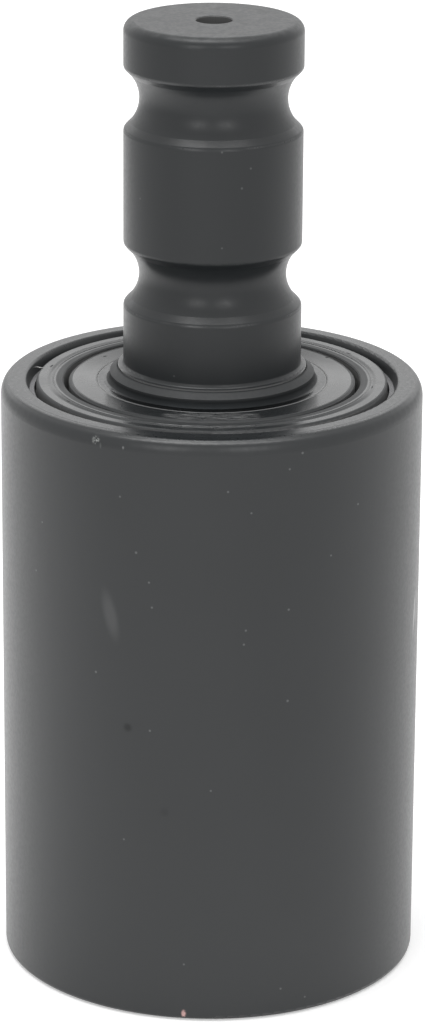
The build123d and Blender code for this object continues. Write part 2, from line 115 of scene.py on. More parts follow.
class WearSettings(bpy.types.PropertyGroup):
    """Chips, specks, rubbed edges with a painted highlight, and dust with painted light in
    creases.
    """

    speck_colour: bpy.props.FloatVectorProperty(
        name="Speck colour", description="Pale dust specks in the paint", subtype="COLOR",
        size=3, min=0.0, max=1.0, default=(0.3, 0.31, 0.31),
    )
    chip_colour: bpy.props.FloatVectorProperty(
        name="Chip colour", description="Filler that shows in the star-shaped chip",
        subtype="COLOR", size=3, min=0.0, max=1.0, default=(0.3, 0.31, 0.3),
    )
    # Also the colour of the painted light in the creases at the collar's top and foot.
    dust_and_seam_light_colour: bpy.props.FloatVectorProperty(
        name="Dust colour", description="Dust on the walls of the seal's running gap",
        subtype="COLOR", size=3, min=0.0, max=1.0, default=(0.22, 0.22, 0.22),
    )
    rim_chip_colour: bpy.props.FloatVectorProperty(
        name="Rim chip colour", description="Primer that shows in the chip on the lower rim",
        subtype="COLOR", size=3, min=0.0, max=1.0, default=(0.62, 0.38, 0.36),
    )
    # The polished line along the turned edges is also a painted highlight.
    rubbed_and_highlight_edge: bpy.props.FloatProperty(
        name="Rubbed edge width", description="Width of the polished line along turned edges",
        unit="LENGTH", min=0.0, default=0.35 * MM,
    )


class StudioSettings(bpy.types.PropertyGroup):
    """The lamps, the floor and the camera."""

    floor_colour: bpy.props.FloatVectorProperty(
        name="Floor colour", description="Pale floor and background", subtype="COLOR",
        size=3, min=0.0, max=1.0, default=(0.86, 0.86, 0.86),
    )
    sky_strength: bpy.props.FloatProperty(
        name="Room light", description="Even light of the white room", min=0.0, default=0.85,
    )
    camera_distance: bpy.props.FloatProperty(
        name="Camera distance", description="Level distance from the roller's axis",
        unit="LENGTH", min=0.1, default=984.127 * MM,
    )
    camera_height: bpy.props.FloatProperty(
        name="Camera height", description="Height of the lens above the floor",
        unit="LENGTH", default=444.819 * MM,
    )
    camera_pitch: bpy.props.FloatProperty(
        name="Camera pitch", description="How far the camera looks down", subtype="ANGLE",
        default=math.radians(18.7824),
    )
    camera_roll: bpy.props.FloatProperty(
        name="Camera roll", description="Tilt of the camera about its view", subtype="ANGLE",
        default=math.radians(0.3687),
    )
    camera_yaw: bpy.props.FloatProperty(
        name="Camera yaw", description="Turn of the camera to the left", subtype="ANGLE",
        default=math.radians(-0.0201),
    )
    focal_length: bpy.props.FloatProperty(
        name="Focal length", description="Focal length in millimetres", min=1.0, default=152.632,
    )


class RollerSettings(bpy.types.PropertyGroup):
    """All that a user would change."""

    paint: bpy.props.PointerProperty(type=PaintSettings)
    seal_face: bpy.props.PointerProperty(type=SealFaceSettings)
    wear: bpy.props.PointerProperty(type=WearSettings)
    studio: bpy.props.PointerProperty(type=StudioSettings)


def on_side(angle, radius, height):
    """Point at an angle round the axis, in degrees from the camera's side."""
    turn = math.radians(angle)
    return Vector((radius * math.sin(turn), -radius * math.cos(turn), height))


class Finish:
    """One material under construction, with short calls for the nodes that it needs."""

    def __init__(self, name):
        self.material = bpy.data.materials.new(name)
        self.material.use_nodes = True
        self.tree = self.material.node_tree
        self.shader = next(n for n in self.tree.nodes if n.type == "BSDF_PRINCIPLED")
        self.place = self.node("ShaderNodeTexCoord").outputs["Object"]

    def node(self, kind, **settings):
        made = self.tree.nodes.new(kind)
        for key, value in settings.items():
            setattr(made, key, value)
        return made

    def feed(self, socket, value):
        """Link an output to the socket, or set the socket to a plain value."""
        if isinstance(value, bpy.types.NodeSocket):
            self.tree.links.new(value, socket)
        elif isinstance(value, (tuple, list)) and len(value) == 3 and socket.type == "RGBA":
            socket.default_value = (*value, 1.0)
        else:
            socket.default_value = value

    def math(self, operation, first, second=0.0):
        made = self.node("ShaderNodeMath", operation=operation)
        self.feed(made.inputs[0], first)
        self.feed(made.inputs[1], second)
        return made.outputs["Value"]

    def plus(self, first, second):
        return self.math("ADD", first, second)

    def minus(self, first, second):
        return self.math("SUBTRACT", first, second)

    def times(self, first, second):
        return self.math("MULTIPLY", first, second)

    def most(self, first, second):
        return self.math("MAXIMUM", first, second)

    def vector(self, operation, first, second=(0.0, 0.0, 0.0)):
        made = self.node("ShaderNodeVectorMath", operation=operation)
        self.feed(made.inputs[0], first)
        self.feed(made.inputs[1], second)
        return made.outputs["Value" if operation in ("DISTANCE", "LENGTH") else "Vector"]

    def fade(self, value, start, end, low=0.0, high=1.0):
        """Low up to start, high past end, and smooth between them."""
        made = self.node("ShaderNodeMapRange", interpolation_type="SMOOTHSTEP")
        for name, given in zip(("Value", "From Min", "From Max", "To Min", "To Max"),
                               (value, start, end, low, high)):
            self.feed(made.inputs[name], given)
        return made.outputs["Result"]

    def noise(self, size, detail=2.0, place=None):
        """Noise from 0 to 1 with features about as wide as size."""
        made = self.node("ShaderNodeTexNoise")
        self.feed(made.inputs["Vector"], self.place if place is None else place)
        made.inputs["Scale"].default_value = 1.0 / size
        made.inputs["Detail"].default_value = detail
        return made.outputs["Fac"]

    def blend(self, share, first, second):
        """Colour that goes from first to second with the share."""
        made = self.node("ShaderNodeMix", data_type="RGBA")
        colours = [s for s in made.inputs if s.type == "RGBA"]
        self.feed(made.inputs["Factor"], share)
        self.feed(colours[0], first)
        self.feed(colours[1], second)
        return next(s for s in made.outputs if s.type == "RGBA")

    def tint(self, colour, share, low, high):
        """The colour made darker or lighter, from low to high times, with the share."""
        dark = tuple(c * low for c in colour)
        light = tuple(c * high for c in colour)
        return self.blend(share, dark, light)

    def from_axis(self):
        """Distance from the roller's axis."""
        level = self.vector("MULTIPLY", self.place, (1.0, 1.0, 0.0))
        return self.vector("LENGTH", level)

    def along(self, axis):
        """Place along the axis X, Y or Z."""
        split = self.node("ShaderNodeSeparateXYZ")
        self.feed(split.inputs["Vector"], self.place)
        return split.outputs[axis]

    def height(self):
        return self.along("Z")

    def upward(self, base, start, end, low=0.0, high=1.0):
        """Fade with the height above a base, from start to end in millimetres."""
        return self.fade(self.height(), base + start * MM, base + end * MM, low, high)

    def outward(self, start, end, low=0.0, high=1.0):
        """Fade with the distance from the axis, from start to end in millimetres."""
        return self.fade(self.from_axis(), start * MM, end * MM, low, high)

    def combine(self, **parts):
        """Vector put together from its parts."""
        made = self.node("ShaderNodeCombineXYZ")
        for axis, value in parts.items():
            self.feed(made.inputs[axis], value)
        return made.outputs["Vector"]

    def ring(self, radius, height, width):
        """Share near a turned edge at that radius and height."""
        across = self.minus(self.from_axis(), radius)
        along = self.minus(self.height(), height)
        gap = self.math("SQRT", self.plus(self.times(across, across), self.times(along, along)))
        return self.fade(gap, width, width * 0.3)

    def spot(self, centre, radius, core=0.4):
        """Share inside a round spot at the centre, full up to the core's share of its radius."""
        gap = self.vector("DISTANCE", self.place, tuple(centre))
        return self.fade(gap, radius, radius * core)

    def streak(self, centre, size, turn):
        """Share inside a long spot, with its half sizes and its turn about the centre."""
        mapping = self.node("ShaderNodeMapping", vector_type="TEXTURE")
        self.feed(mapping.inputs["Vector"], self.place)
        mapping.inputs["Location"].default_value = centre
        mapping.inputs["Rotation"].default_value = turn
        mapping.inputs["Scale"].default_value = size
        gap = self.vector("LENGTH", mapping.outputs["Vector"])
        return self.fade(gap, 1.0, 0.25)

    def any_of(self, shares):
        total = shares[0]
        for share in shares[1:]:
            total = self.most(total, share)
        return total

    def bump(self, level, depth, below=None):
        """Bump of that depth, on top of another one if given."""
        made = self.node("ShaderNodeBump")
        made.inputs["Distance"].default_value = depth
        self.feed(made.inputs["Height"], level)
        if below is not None:
            self.feed(made.inputs["Normal"], below)
        return made.outputs["Normal"]

    def finish(self, colour=None, roughness=None, normal=None, metallic=0.0):
        """Wire the results into the shader."""
        if colour is not None:
            self.feed(self.shader.inputs["Base Color"], colour)
        if roughness is not None:
            self.feed(self.shader.inputs["Roughness"], roughness)
        if normal is not None:
            self.feed(self.shader.inputs["Normal"], normal)
        self.feed(self.shader.inputs["Metallic"], metallic)
        return self.material


def dress(node, material):
    """Give a CAD node its material."""
    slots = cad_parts[node].data.materials
    slots.clear()
    slots.append(material)


def paint_film(finish, settings):
    """Colour, roughness and normal of the bare satin paint, before any marks."""
    cloud = finish.noise(settings.cloud, detail=3.0)
    fine = finish.noise(settings.grain * 2.0, detail=2.0)
    colour = finish.tint(tuple(settings.colour), cloud, 0.9, 1.1)
    smooth = settings.sheen_roughness
    roughness = finish.fade(fine, 0.3, 0.7, smooth - 0.03, smooth + 0.03)
    broad = finish.bump(finish.noise(settings.ripple, detail=1.0), 0.006 * MM)
    normal = finish.bump(finish.noise(settings.grain, detail=2.0), 0.004 * MM, broad)
    return colour, roughness, normal


# Pale specks: angle round the roller, height in mm, radius in mm.
SHELL_SPECKS = (
    (-24.6, 129.15, 0.34), (-20.0, 116.17, 0.42), (-51.6, 117.95, 0.3), (24.5, 139.9, 0.4),
    (21.1, 102.4, 0.38), (21.1, 79.92, 0.42), (-16.4, 109.26, 0.36), (-15.6, 103.24, 0.36),
    (9.4, 98.19, 0.36), (8.9, 94.78, 0.36), (-32.0, 85.18, 0.4), (-16.1, 72.81, 0.38),
    (0.4, 58.68, 0.34), (-6.6, 14.34, 0.34), (20.1, 6.96, 0.36), (27.4, 3.69, 0.34),
    (-54.6, 105.34, 0.32), (-23.7, 141.0, 0.4), (4.4, 131.9, 0.36), (10.6, 126.6, 0.34),
    (42.6, 124.8, 0.36), (33.6, 113.9, 0.34), (20.9, 136.4, 0.34), (-23.5, 44.6, 0.34),
)
SHAFT_SPECKS = (
    (-76.9, 187.6, 0.34), (18.3, 195.13, 0.36), (24.2, 199.64, 0.34), (5.4, 203.8, 0.34),
    (-53.3, 190.66, 0.3), (5.8, 181.18, 0.32), (-24.8, 149.9, 0.3),
)
# Soft dark spots on the shell: angle, height in mm, radius in mm, depth of the shade.
DARK_SPOTS = ((-22.4, 72.9, 1.5, 1.0), (-12.0, 52.8, 1.5, 0.4), (73.0, 34.0, 0.5, 1.0))
# Long marks on the shell: angle, height in mm, half sizes in mm.
STAR_TAILS = ((-30.4, 140.6, (0.3, 0.6, 1.0)), (-23.7, 140.9, (0.3, 0.6, 0.7)))
RIM_CHIPS = ((-6.6, 1.6, (0.75, 2.0, 1.3)),)
SCRATCHES = ((76.3, 89.0, (1.2, 1.1, 7.4)), (79.2, 90.0, (1.2, 0.5, 6.4)))
SMEAR = (-27.5, 100.0, (2.4, 6.0, 8.0))
# Lean of the scratches and of the smear, in degrees from upright.
SCRATCH_TILT = -11.0
SMEAR_TILT = -14.0
# Round face of the star-shaped chip: angle, height in mm, radius in mm.
STAR = (-32.0, 141.7, 1.35)


def on_shell(angle, height):
    """Point on the shell at an angle in degrees and a height in millimetres."""
    return on_side(angle, SHELL_RADIUS, height * MM)


def specks(finish, places, radius):
    """Share of the surface that the listed pale specks cover."""
    return finish.any_of([
        finish.spot(on_side(angle, radius, height * MM), size * MM)
        for angle, height, size in places
    ])


def long_marks(finish, places, tilt=0.0):
    """Share of the shell that the listed long marks cover."""
    return finish.any_of([
        finish.streak(on_shell(angle, height), [size * MM for size in sizes],
                      (math.radians(tilt), 0.0, 0.0))
        for angle, height, sizes in places
    ])


class ROLLER_OT_paint_shell(bpy.types.Operator):
    """Paint the shell, with its chips, specks and scratches"""

    bl_idname = "roller.paint_shell"
    bl_label = "Paint the shell"

    def execute(self, context):
        settings = context.scene.roller
        wear = settings.wear
        finish = Finish("shell_paint")
        colour, roughness, normal = paint_film(finish, settings.paint)
        normal = finish.bump(self.shoulder(finish), 1.0 * MM, normal)
        # The flat rim is a little glossier than the side.
        roughness = finish.minus(roughness, finish.upward(SHELL_TOP, -1.2, -0.4, 0.0, 0.04))

        pale = finish.times(specks(finish, SHELL_SPECKS, SHELL_RADIUS), 0.26)
        colour = finish.blend(pale, colour, tuple(wear.speck_colour))
        colour = finish.blend(self.smear(finish), colour, PALE_DUST_AND_GLINT)
        dark = self.dark_spots(finish)
        colour = finish.blend(dark, colour, (0.002, 0.002, 0.002))

        ragged = finish.noise(0.4 * MM, detail=3.0)
        angle, height, size = STAR
        star = finish.spot(on_shell(angle, height), size * MM, 0.1)
        star = finish.times(star, finish.fade(ragged, 0.48, 0.6))
        chips = finish.most(star, finish.times(long_marks(finish, STAR_TAILS), 0.14))
        colour = finish.blend(chips, colour, tuple(wear.chip_colour))
        rim = finish.times(long_marks(finish, RIM_CHIPS), finish.fade(ragged, 0.3, 0.5))
        colour = finish.blend(rim, colour, tuple(wear.rim_chip_colour))
        scratches = finish.times(long_marks(finish, SCRATCHES, SCRATCH_TILT), 0.42)
        colour = finish.blend(scratches, colour, (0.55, 0.55, 0.55))

        marks = finish.most(chips, rim)
        roughness = finish.plus(roughness, finish.times(marks, 0.3))
        normal = finish.bump(finish.minus(pale, marks), 0.03 * MM, normal)
        dress("roller_shell", finish.finish(colour, roughness, normal, metallic=dark))
        return {"FINISHED"}

    def shoulder(self, finish):
        """Two soft bends that tighten the look of the shoulder's rounding, in millimetres."""
        inner = finish.outward(47.4, 48.6, 0.0, 0.288)
        outer = finish.outward(48.5, 49.5, 0.0, 0.21)
        return finish.times(finish.plus(inner, outer), finish.upward(0.0, 10.0, 137.0))

    def smear(self, finish):
        """Share of the faint pale smear on the left of the shell."""
        angle, height, sizes = SMEAR
        smear = finish.streak(on_shell(angle, height), [size * MM for size in sizes],
                              (0.0, math.radians(SMEAR_TILT), math.radians(angle)))
        return finish.times(smear, 0.055)

    def dark_spots(self, finish):
        """Share of the soft dark spots, which also dull the paint's shine."""
        spots = finish.any_of([
            finish.times(finish.spot(on_shell(angle, height), size * MM, 0.2), depth)
            for angle, height, size, depth in DARK_SPOTS
        ])
        return finish.times(spots, 0.33)


class ROLLER_OT_paint_shaft(bpy.types.Operator):
    """Paint the shaft, rub its turned edges, and paint a highlight along them and light in its
    foot crease
    """

    bl_idname = "roller.paint_shaft"
    bl_label = "Paint the shaft"

    def execute(self, context):
        settings = context.scene.roller
        finish = Finish("shaft_paint")
        colour, roughness, normal = paint_film(finish, settings.paint)
        pale = finish.times(specks(finish, SHAFT_SPECKS, SHAFT_RADIUS), 0.19)
        colour = finish.blend(pale, colour, tuple(settings.wear.speck_colour))

        # Rubbing makes the groove edges smoother, and a painted highlight lightens their colour.
        width = settings.wear.rubbed_and_highlight_edge
        edges = finish.any_of([
            finish.ring(SHAFT_RADIUS, height + side * GROOVE_HALF_WIDTH, width)
            for height in GROOVE_HEIGHTS for side in (-1.0, 1.0)
        ])
        patchy = finish.fade(finish.noise(9.0 * MM, detail=2.0), 0.35, 0.65)
        rubbed_and_highlight = finish.times(edges, patchy)
        colour = finish.blend(finish.times(rubbed_and_highlight, 0.08), colour, (0.4, 0.4, 0.4))
        roughness = finish.minus(roughness, finish.times(rubbed_and_highlight, 0.1))

        # Painted light: a paler ring lightens the shade in the crease at the collar's top.
        painted_seam_light = finish.times(finish.ring(COLLAR_TOP_RADIUS, COLLAR_TOP, 0.5 * MM), 0.5)
        colour = finish.blend(painted_seam_light, colour, tuple(settings.wear.dust_and_seam_light_colour))

        # The top of the head is duller and faintly mottled, and the wall of its hole is paler.
        head = finish.upward(SHAFT_TOP, -1.2, -0.2)
        mottle = finish.noise(2.6 * MM, detail=4.0)
        head_tint = finish.times(head, finish.fade(mottle, 0.35, 0.75, 0.0, 0.04))
        colour = finish.blend(head_tint, colour, PALE_DUST_AND_GLINT)
        roughness = finish.plus(roughness, finish.times(head, 0.1))
        hole = finish.outward(HOLE_RADIUS, HOLE_RADIUS + 0.2, 1.0, 0.0)
        colour = finish.blend(hole, colour, (0.1, 0.1, 0.1))
        finish.shader.inputs["IOR"].default_value = 1.45
        dress("shaft", finish.finish(colour, roughness, normal))
        return {"FINISHED"}


class ROLLER_OT_paint_collar(bpy.types.Operator):
    """Paint the collar on the shaft's foot, with painted shade in its cove and painted light in
    its foot crease
    """

    bl_idname = "roller.paint_collar"
    bl_label = "Paint the collar"

    def execute(self, context):
        settings = context.scene.roller
        finish = Finish("collar_paint")
        colour, roughness, _ = paint_film(finish, settings.paint)
        marks = turning_marks(finish, settings.seal_face.tool_mark)
        normal = finish.bump(marks, 0.001 * MM)
        roughness = finish.plus(roughness, finish.upward(SEAL_FACE, 0.1, 0.3, -0.1, 0.22))
        # Painted light: a paler ring lightens the shade in the crease at the collar's foot.
        painted_seam_light = finish.ring(COLLAR_FOOT_RADIUS, SEAL_FACE, 0.4 * MM)
        colour = finish.blend(finish.times(painted_seam_light, 0.7), colour, tuple(settings.wear.dust_and_seam_light_colour))

        # Painted shade: a metallic mask darkens the cove at the wall's foot and takes the shine
        # off the paint there, and the same mask darkens the top edge beside the shaft.
        cove_shade = finish.upward(SEAL_FACE, 1.2, 2.0, 0.85, 0.0)
        cove_shade = finish.times(cove_shade, finish.minus(1.0, painted_seam_light))
        top_edge = finish.times(finish.ring(COLLAR_TOP_RADIUS, COLLAR_TOP, 0.6 * MM), 0.85)
        shade_and_dark_edge = finish.most(cove_shade, top_edge)
        dress("shaft_collar", finish.finish(colour, roughness, normal, metallic=shade_and_dark_edge))
        return {"FINISHED"}


def turning_marks(finish, pitch):
    """Fine rings left by a turning tool, uneven from one to the next."""
    place = finish.combine(X=finish.from_axis(), Z=finish.height())
    return finish.noise(pitch, detail=3.0, place=place)


def tool_lines(finish):
    """Coarser rings on the front of the face, broken up along their length; a bump and the painted
    glints of the seal face.
    """
    across, back = finish.along("X"), finish.along("Y")
    turn = finish.math("ARCTAN2", across, finish.times(back, -1.0))
    place = finish.combine(X=finish.from_axis(), Y=finish.times(turn, 2.4 * MM))
    rings = finish.noise(0.3 * MM, detail=2.0, place=place)
    front = finish.fade(back, -29.0 * MM, -23.0 * MM, 1.0, 0.0)
    middle = finish.fade(finish.math("ABSOLUTE", across), 9.0 * MM, 18.0 * MM, 1.0, 0.0)
    return finish.times(rings, finish.times(front, middle))


# Dark stains on the seal face: angle, radius in mm, half length and half width in mm.
SEAL_STAINS = (
    (-103.5, 39.4, 1.5, 0.45), (-60.3, 38.4, 1.5, 0.4), (122.7, 39.2, 1.4, 0.4),
    (80.6, 38.3, 1.7, 0.22), (-124.2, 31.15, 0.9, 0.5), (122.7, 32.86, 0.8, 0.5),
)
# The two turned faces. Inner and outer are the radii of the face's edges in mm, stretch is how
# far the turning marks draw out a reflection, the dust share is that on the walls of the gap, dish
# is the slope of a slightly hollow face, and glint is how much painted glint the broken tool lines
# add.
SEAL_FACES = (
    {
        "name": "seal_housing_paint", "node": "turning_seal_housing", "inner": 37.0, "outer": 40.9,
        "roughness": 0.26, "stretch": 0.3, "dust_and_seam_light": 0.9, "dish": 0.0, "glint": 0.05,
    },
    {
        "name": "seal_seat_paint", "node": "fixed_seal_seat", "inner": 20.0, "outer": 32.9,
        "roughness": 0.24, "stretch": 0.6, "dust_and_seam_light": 0.25, "dish": 0.15, "glint": 0.32,
    },
)


class ROLLER_OT_finish_seal_face(bpy.types.Operator):
    """Turned and thinly painted rings of the face seal"""

    bl_idname = "roller.finish_seal_face"
    bl_label = "Finish the seal face"

    def execute(self, context):
        for face in SEAL_FACES:
            dress(face["node"], self.make_face(context.scene.roller, face))
        return {"FINISHED"}

    def make_face(self, settings, face):
        finish = Finish(face["name"])
        colour, _, _ = paint_film(finish, settings.paint)
        rings = tool_lines(finish)
        marks = turning_marks(finish, settings.seal_face.tool_mark)
        broad_marks = turning_marks(finish, settings.seal_face.tool_mark * 7.0)
        edge = self.edges(finish, face)
        # Painted glints: pale broken tool lines on the front of the face, kept off the edges.
        painted_glint = finish.fade(rings, 0.42, 0.6, 0.0, face["glint"])
        colour = finish.blend(finish.times(painted_glint, finish.minus(1.0, edge)), colour, PALE_DUST_AND_GLINT)
        colour = finish.blend(finish.fade(marks, 0.45, 0.75, 0.0, 0.03), colour, PALE_DUST_AND_GLINT)
        stains = self.stains(finish)
        colour = finish.blend(stains, colour, (0.004, 0.004, 0.004))
        # Dust pales the walls of the gap, and painted light pales the crease at the collar's foot.
        dust_and_seam_light = self.dust_and_seam_light(finish, face["dust_and_seam_light"])
        colour = finish.blend(dust_and_seam_light, colour, tuple(settings.wear.dust_and_seam_light_colour))

        haze = finish.noise(8.0 * MM, detail=3.0)
        smooth = face["roughness"]
        roughness = finish.fade(haze, 0.3, 0.7, smooth - 0.01, smooth + 0.04)
        for share, added in ((stains, 0.5), (dust_and_seam_light, 0.5), (edge, 0.3)):
            roughness = finish.plus(roughness, finish.times(share, added))
        tangent = finish.node("ShaderNodeTangent", direction_type="RADIAL", axis="Z")
        finish.feed(finish.shader.inputs["Tangent"], tangent.outputs["Tangent"])
        finish.shader.inputs["Anisotropic"].default_value = face["stretch"]
        finish.shader.inputs["Anisotropic Rotation"].default_value = 0.25

        # A soft step on the turning ring and the slight hollow of the disc, in millimetres.
        step = finish.outward(37.7, 39.3, 0.5, 0.0)
        dish = finish.times(finish.from_axis(), face["dish"] / MM)
        normal = finish.bump(finish.plus(step, dish), 1.0 * MM)
        for level, depth in ((broad_marks, 0.004), (marks, 0.0012), (rings, 0.15)):
            normal = finish.bump(level, depth * MM, normal)
        return finish.finish(colour, roughness, normal)

    def edges(self, finish, face):
        """Share of the rounded or bevelled edges beside the flat face."""
        inner, outer = face["inner"], face["outer"]
        return finish.plus(finish.outward(inner, inner - 0.2), finish.outward(outer, outer + 0.2))

    def stains(self, finish):
        """Share of the dark stains on the face."""
        stains = finish.any_of([
            finish.streak(on_side(angle, radius * MM, SEAL_FACE),
                          (length * MM, width * MM, 1.0 * MM), (0.0, 0.0, math.radians(angle)))
            for angle, radius, length, width in SEAL_STAINS
        ])
        return finish.times(stains, 0.8)

    def dust_and_seam_light(self, finish, share):
        """Share of the dust on the walls of the running gap, and of painted light in the collar's
        seam.
        """
        deep = finish.upward(SEAL_FACE, -0.7, -0.25, share, 0.0)
        near = finish.outward(THROAT_RADIUS, THROAT_RADIUS + 0.5, 1.0, 0.0)
        beyond = finish.outward(FLANGE_RADIUS, FLANGE_RADIUS + 0.4, 0.0, 0.5)
        # Painted light: a paler ring lightens the shade in the crease at the collar's foot.
        painted_seam_light = finish.times(finish.ring(COLLAR_FOOT_RADIUS, SEAL_FACE, 0.4 * MM), 0.6)
        return finish.most(finish.times(deep, finish.plus(near, beyond)), painted_seam_light)


class ROLLER_OT_finish_spring_rings(bpy.types.Operator):
    """Blued spring steel of the snap ring and the circlip"""

    bl_idname = "roller.finish_spring_rings"
    bl_label = "Finish the spring rings"

    def execute(self, context):
        finish = Finish("blued_spring_steel")
        cloud = finish.noise(6.0 * MM, detail=3.0)
        colour = finish.blend(cloud, (0.1, 0.1, 0.105), (0.16, 0.16, 0.165))
        scale = finish.noise(0.35 * MM, detail=3.0)
        roughness = finish.fade(scale, 0.3, 0.7, 0.36, 0.5)
        normal = finish.bump(scale, 0.006 * MM)
        material = finish.finish(colour, roughness, normal, metallic=0.4)
        for node in ("housing_snap_ring", "cover_circlip"):
            dress(node, material)
        return {"FINISHED"}


class ROLLER_OT_finish_seal_group(bpy.types.Operator):
    """Lapped iron rings and black rubber rings of the seals"""

    bl_idname = "roller.finish_seal_group"
    bl_label = "Finish the seal rings"

    def execute(self, context):
        finish = Finish("lapped_iron")
        marks = turning_marks(finish, 0.15 * MM)
        patches = finish.noise(5.0 * MM, detail=3.0)
        colour = finish.blend(patches, (0.3, 0.3, 0.31), (0.4, 0.4, 0.4))
        roughness = finish.fade(marks, 0.3, 0.7, 0.14, 0.26)
        normal = finish.bump(marks, 0.002 * MM)
        iron = finish.finish(colour, roughness, normal, metallic=1.0)

        finish = Finish("seal_rubber_black")
        grain = finish.noise(0.3 * MM, detail=2.0)
        bloom = finish.noise(7.0 * MM, detail=3.0)
        colour = finish.blend(bloom, (0.012, 0.012, 0.012), (0.024, 0.024, 0.025))
        roughness = finish.fade(bloom, 0.3, 0.7, 0.5, 0.66)
        rubber = finish.finish(colour, roughness, finish.bump(grain, 0.012 * MM))

        for node in ("fixed_seal_ring", "turning_seal_ring"):
            dress(node, iron)
        for node in ("fixed_seal_rubber", "turning_seal_rubber", "housing_rubber_ring",
                     "shaft_rubber_ring", "cover_rubber_ring"):
            dress(node, rubber)
        return {"FINISHED"}


class ROLLER_OT_finish_bearings(bpy.types.Operator):
    """Ground races and balls, and brass cages"""

    bl_idname = "roller.finish_bearings"
    bl_label = "Finish the bearings"

    def execute(self, context):
        finish = Finish("bearing_steel_ground")
        marks = turning_marks(finish, 0.12 * MM)
        patches = finish.noise(9.0 * MM, detail=2.0)
        colour = finish.blend(patches, (0.56, 0.56, 0.57), (0.64, 0.64, 0.66))
        roughness = finish.fade(marks, 0.3, 0.7, 0.1, 0.2)
        steel = finish.finish(colour, roughness, finish.bump(marks, 0.001 * MM), metallic=1.0)

        finish = Finish("cage_brass_machined")
        marks = turning_marks(finish, 0.2 * MM)
        tarnish = finish.noise(6.0 * MM, detail=4.0)
        colour = finish.blend(tarnish, (0.5, 0.36, 0.14), (0.62, 0.47, 0.22))
        roughness = finish.fade(marks, 0.3, 0.7, 0.24, 0.38)
        brass = finish.finish(colour, roughness, finish.bump(marks, 0.003 * MM), metallic=1.0)

        for end in ("seal_end", "blind_end"):
            for piece in ("_inner_race", "_outer_race", "_balls"):
                dress(end + piece, steel)
            dress(end + "_cage", brass)
        return {"FINISHED"}


class ROLLER_OT_finish_clamping(bpy.types.Operator):
    """Turned, oiled steel of the sleeve, the lock washer and the nut"""

    bl_idname = "roller.finish_clamping"
    bl_label = "Finish the sleeve and the nut"

    def execute(self, context):
        finish = Finish("turned_steel_oiled")
        marks = turning_marks(finish, 0.3 * MM)
        oil = finish.noise(12.0 * MM, detail=3.0)
        colour = finish.blend(oil, (0.3, 0.29, 0.27), (0.43, 0.43, 0.44))
        roughness = finish.fade(oil, 0.35, 0.65, 0.2, 0.36)
        material = finish.finish(colour, roughness, finish.bump(marks, 0.005 * MM), metallic=1.0)
        for node in ("bearing_spacer", "lock_washer", "lock_nut"):
            dress(node, material)
        return {"FINISHED"}


class ROLLER_OT_finish_blind_end(bpy.types.Operator):
    """Painted end cover, plated filler plug and its washer"""

    bl_idname = "roller.finish_blind_end"
    bl_label = "Finish the blind end"

    def execute(self, context):
        settings = context.scene.roller
        finish = Finish("cover_paint")
        colour, roughness, normal = paint_film(finish, settings.paint)
        marks = turning_marks(finish, 0.5 * MM)
        normal = finish.bump(marks, 0.006 * MM, normal)
        dress("end_cover", finish.finish(colour, roughness, normal))

        finish = Finish("zinc_plate")
        cloud = finish.noise(3.0 * MM, detail=4.0)
        grain = finish.noise(0.25 * MM, detail=2.0)
        colour = finish.blend(cloud, (0.42, 0.4, 0.3), (0.55, 0.53, 0.45))
        roughness = finish.fade(cloud, 0.3, 0.7, 0.28, 0.42)
        normal = finish.bump(grain, 0.004 * MM)
        dress("filler_plug", finish.finish(colour, roughness, normal, metallic=1.0))

        finish = Finish("soft_aluminium")
        marks = finish.noise(0.6 * MM, detail=4.0)
        colour = finish.blend(marks, (0.5, 0.5, 0.5), (0.66, 0.66, 0.67))
        roughness = finish.fade(marks, 0.3, 0.7, 0.34, 0.5)
        normal = finish.bump(marks, 0.006 * MM)
        dress("plug_washer", finish.finish(colour, roughness, normal, metallic=1.0))
        return {"FINISHED"}


# Paint sliver: its angle round the roller, the distances of its ends from the axis, its width
# and thickness, how fast it narrows, the place along it from 0 to 1 where it is widest, how far
# it arches up and sways sideways, and the rounding of its edges.
SLIVER_ANGLE = -100.3
SLIVER_INNER = 40.9 * MM
SLIVER_OUTER = 43.3 * MM
SLIVER_WIDTH = 0.34 * MM
SLIVER_THICKNESS = 0.16 * MM
SLIVER_TAPER = 1.3
SLIVER_WIDEST = 0.35
SLIVER_ARCH = 0.12 * MM
SLIVER_SWAY = 0.15 * MM
SLIVER_ROUNDING = 0.03 * MM


